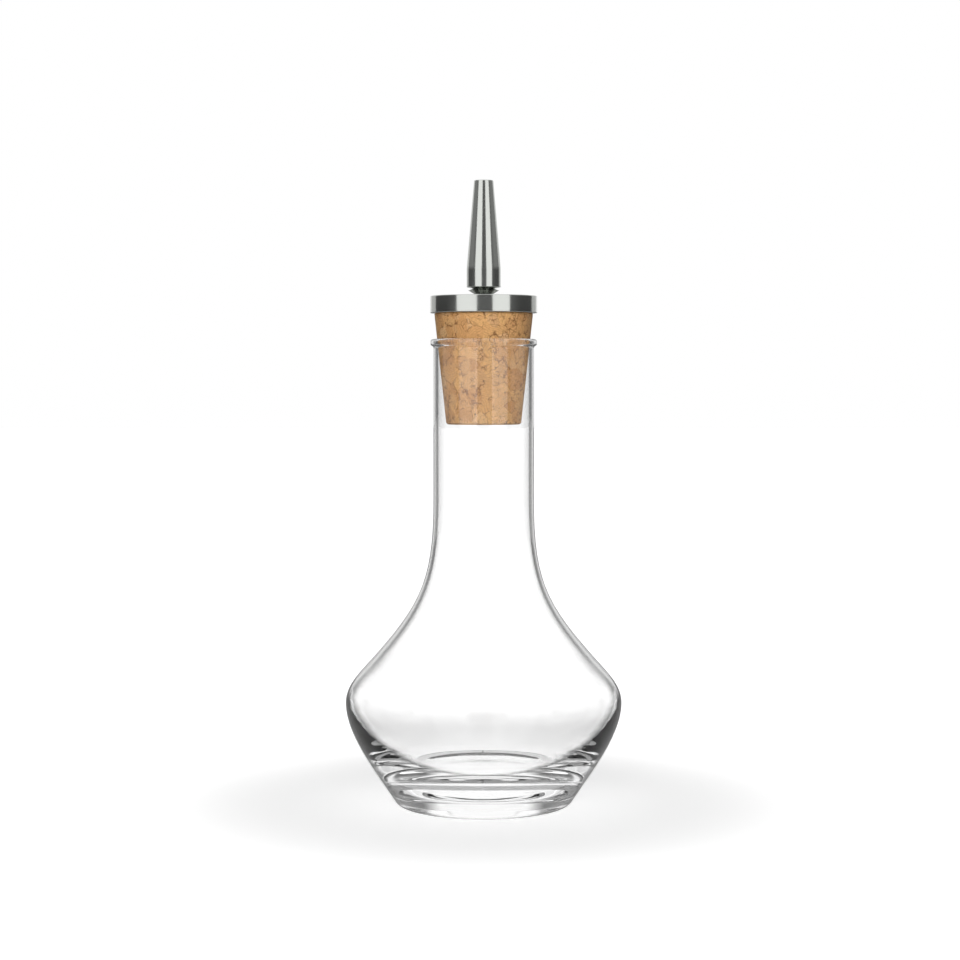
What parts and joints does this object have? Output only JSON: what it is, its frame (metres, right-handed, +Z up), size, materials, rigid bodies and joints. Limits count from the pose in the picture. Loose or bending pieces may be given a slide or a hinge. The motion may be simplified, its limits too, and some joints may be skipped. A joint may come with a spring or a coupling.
{
  "type": "bitters bottle",
  "caption": "Empty clear glass bitters bottle with a slim neck, low conical belly and thick base, closed by a tapered cork that carries a steel plate and dasher spout.",
  "frame": {"origin": "centre of the base, on the plane that the bottle stands on", "axes": "+Z up along the axis that the bottle, the cork, the plate and the spout are turned about; X and Y are free, as every piece is round"},
  "size_m": [0.07, 0.07, 0.1578],
  "materials": {
    "clear_glass": "clear, fire polished",
    "cork": "agglomerated cork, sanded",
    "polished_steel": "turned stainless steel, polished"
  },
  "bodies": {
    "root": {"glass_bottle": "clear_glass", "cork_stopper": "cork", "cap_plate": "polished_steel", "dasher_spout": "polished_steel"}
  },
  "joints": []
}
